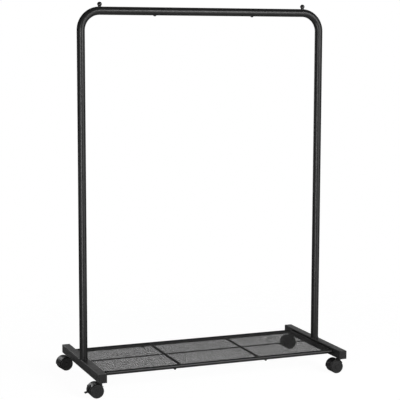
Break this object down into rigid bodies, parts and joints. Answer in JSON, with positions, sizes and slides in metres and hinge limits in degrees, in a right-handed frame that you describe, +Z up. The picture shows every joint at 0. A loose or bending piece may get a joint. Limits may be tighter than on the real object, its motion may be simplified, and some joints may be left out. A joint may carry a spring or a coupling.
{
  "type": "rolling clothes rack",
  "caption": "Rolling clothes rack: an arched hanging rail of round tube on two uprights, a low mesh shelf and square feet on swivelling twin-wheel casters.",
  "frame": {"origin": "on the floor, midway between the two uprights and midway between the front and rear ends of the feet", "axes": "+X along the hanging rail to the right-hand side, +Y to the back, +Z up"},
  "size_m": [1.0979, 0.52, 1.4959],
  "materials": {
    "black_powder_coat": "fine-grained satin powder coat",
    "black_mesh": "satin powder coat on expanded metal",
    "black_screw_steel": "black oxide, satin",
    "zinc_plated_steel": "zinc plated, satin",
    "black_gloss_knob": "smooth gloss",
    "black_cap_plastic": "moulded, fine texture",
    "caster_hood_plastic": "moulded nylon, semi-gloss",
    "caster_wheel_plastic": "moulded nylon, scuffed tread",
    "caster_lever_plastic": "moulded nylon, satin"
  },
  "bodies": {
    "frame": {"left_foot_tube": "black_powder_coat", "left_post_stub": "black_powder_coat", "left_lower_post": "black_powder_coat", "left_middle_post": "black_powder_coat", "left_upper_post": "black_powder_coat", "left_corner_tube": "black_powder_coat", "left_ball_knob": "black_gloss_knob", "left_end_rail": "black_powder_coat", "left_cross_rods": "black_powder_coat", "right_foot_tube": "black_powder_coat", "right_post_stub": "black_powder_coat", "right_lower_post": "black_powder_coat", "right_middle_post": "black_powder_coat", "right_upper_post": "black_powder_coat", "right_corner_tube": "black_powder_coat", "right_ball_knob": "black_gloss_knob", "right_end_rail": "black_powder_coat", "right_cross_rods": "black_powder_coat", "foot_end_caps": "black_cap_plastic", "knob_rivet_nuts": "zinc_plated_steel", "top_middle_tube": "black_powder_coat", "top_joint_screws": "black_screw_steel", "top_joint_nuts": "zinc_plated_steel", "front_left_rail": "black_powder_coat", "front_middle_rail": "black_powder_coat", "front_right_rail": "black_powder_coat", "rear_left_rail": "black_powder_coat", "rear_middle_rail": "black_powder_coat", "rear_right_rail": "black_powder_coat", "shelf_joint_screws": "black_screw_steel", "shelf_joint_nuts": "zinc_plated_steel", "left_centre_rod": "black_powder_coat", "left_mesh_panel": "black_mesh", "middle_centre_rod": "black_powder_coat", "middle_mesh_panel": "black_mesh", "right_centre_rod": "black_powder_coat", "right_mesh_panel": "black_mesh", "caster_weld_nuts": "zinc_plated_steel", "caster_stems": "zinc_plated_steel", "stem_retaining_rings": "zinc_plated_steel"},
    "front_left_caster": {"front_left_hood": "caster_hood_plastic", "front_left_axle": "zinc_plated_steel"},
    "front_left_front_wheel": {"front_left_front_wheel": "caster_wheel_plastic"},
    "front_left_rear_wheel": {"front_left_rear_wheel": "caster_wheel_plastic"},
    "front_left_brake_lever": {"front_left_brake_lever": "caster_lever_plastic"},
    "front_right_caster": {"front_right_hood": "caster_hood_plastic", "front_right_axle": "zinc_plated_steel"},
    "front_right_front_wheel": {"front_right_front_wheel": "caster_wheel_plastic"},
    "front_right_rear_wheel": {"front_right_rear_wheel": "caster_wheel_plastic"},
    "rear_left_caster": {"rear_left_hood": "caster_hood_plastic", "rear_left_axle": "zinc_plated_steel"},
    "rear_left_front_wheel": {"rear_left_front_wheel": "caster_wheel_plastic"},
    "rear_left_rear_wheel": {"rear_left_rear_wheel": "caster_wheel_plastic"},
    "rear_right_caster": {"rear_right_hood": "caster_hood_plastic", "rear_right_axle": "zinc_plated_steel"},
    "rear_right_front_wheel": {"rear_right_front_wheel": "caster_wheel_plastic"},
    "rear_right_rear_wheel": {"rear_right_rear_wheel": "caster_wheel_plastic"},
    "rear_right_brake_lever": {"rear_right_brake_lever": "caster_lever_plastic"}
  },
  "joints": [
    {"name": "front_left_swivel", "type": "hinge", "parent": "frame", "child": "front_left_caster", "pos_m": [-0.51, -0.22, 0.045], "axis": [0, 0, 1], "continuous": true},
    {"name": "front_left_front_wheel_spin", "type": "hinge", "parent": "front_left_caster", "child": "front_left_front_wheel", "pos_m": [-0.528, -0.22, 0.027], "axis": [0, 1, 0], "continuous": true},
    {"name": "front_left_rear_wheel_spin", "type": "hinge", "parent": "front_left_caster", "child": "front_left_rear_wheel", "pos_m": [-0.528, -0.22, 0.027], "axis": [0, 1, 0], "continuous": true},
    {"name": "front_left_brake", "type": "hinge", "parent": "front_left_caster", "child": "front_left_brake_lever", "pos_m": [-0.55486, -0.22, 0.04512], "axis": [0, -1, 0], "range_deg": [0, 10]},
    {"name": "front_right_swivel", "type": "hinge", "parent": "frame", "child": "front_right_caster", "pos_m": [0.51, -0.22, 0.045], "axis": [0, 0, 1], "continuous": true},
    {"name": "front_right_front_wheel_spin", "type": "hinge", "parent": "front_right_caster", "child": "front_right_front_wheel", "pos_m": [0.492, -0.22, 0.027], "axis": [0, 1, 0], "continuous": true},
    {"name": "front_right_rear_wheel_spin", "type": "hinge", "parent": "front_right_caster", "child": "front_right_rear_wheel", "pos_m": [0.492, -0.22, 0.027], "axis": [0, 1, 0], "continuous": true},
    {"name": "rear_left_swivel", "type": "hinge", "parent": "frame", "child": "rear_left_caster", "pos_m": [-0.51, 0.22, 0.045], "axis": [0, 0, 1], "continuous": true},
    {"name": "rear_left_front_wheel_spin", "type": "hinge", "parent": "rear_left_caster", "child": "rear_left_front_wheel", "pos_m": [-0.52787, 0.21781, 0.027], "axis": [-0.1219, 0.9925, 0], "continuous": true},
    {"name": "rear_left_rear_wheel_spin", "type": "hinge", "parent": "rear_left_caster", "child": "rear_left_rear_wheel", "pos_m": [-0.52787, 0.21781, 0.027], "axis": [-0.1219, 0.9925, 0], "continuous": true},
    {"name": "rear_right_swivel", "type": "hinge", "parent": "frame", "child": "rear_right_caster", "pos_m": [0.51, 0.22, 0.045], "axis": [0, 0, 1], "continuous": true},
    {"name": "rear_right_front_wheel_spin", "type": "hinge", "parent": "rear_right_caster", "child": "rear_right_front_wheel", "pos_m": [0.492, 0.22, 0.027], "axis": [0, 1, 0], "continuous": true},
    {"name": "rear_right_rear_wheel_spin", "type": "hinge", "parent": "rear_right_caster", "child": "rear_right_rear_wheel", "pos_m": [0.492, 0.22, 0.027], "axis": [0, 1, 0], "continuous": true},
    {"name": "rear_right_brake", "type": "hinge", "parent": "rear_right_caster", "child": "rear_right_brake_lever", "pos_m": [0.46514, 0.22, 0.04512], "axis": [0, -1, 0], "range_deg": [0, 10]}
  ]
}
